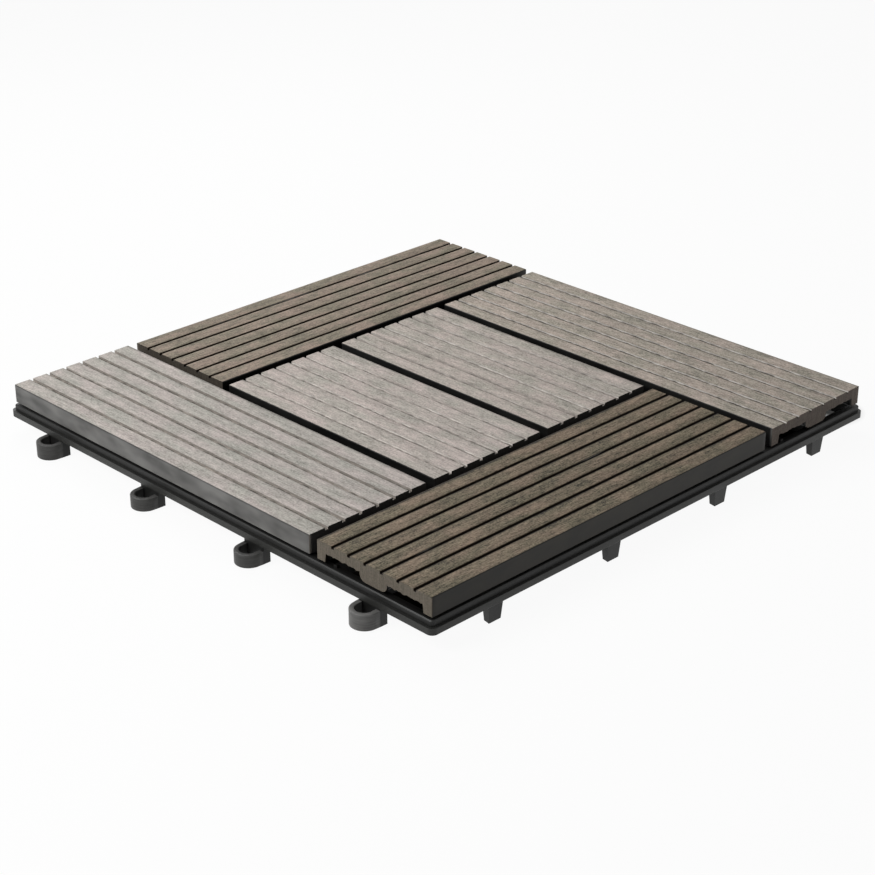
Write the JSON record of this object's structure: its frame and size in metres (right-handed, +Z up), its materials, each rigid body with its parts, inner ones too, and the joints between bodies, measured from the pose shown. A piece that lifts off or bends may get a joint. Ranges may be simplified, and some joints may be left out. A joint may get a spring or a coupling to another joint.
{
  "type": "interlocking deck tile",
  "caption": "Square interlocking deck tile: grooved composite slats laid in a pinwheel on a moulded plastic base grid with loops on two sides and pegs on the other two.",
  "frame": {"origin": "centre of the tile on the floor, under the middle foot", "axes": "+Z up through the slats; the left side (-X) and the back side (+Y) carry the loops, the front side (-Y) and the right side (+X) carry the pegs"},
  "size_m": [0.3091, 0.3091, 0.025],
  "materials": {
    "base_plastic": "moulded",
    "slat_composite": "brushed",
    "slat_composite_dark": "brushed",
    "screw_steel": "zinc plated"
  },
  "bodies": {
    "root": {"base_grid": "base_plastic", "left_slat": "slat_composite", "front_slat": "slat_composite_dark", "right_slat": "slat_composite", "back_slat": "slat_composite_dark", "centre_left_slat": "slat_composite", "centre_right_slat": "slat_composite", "slat_screws": "screw_steel"}
  },
  "joints": []
}
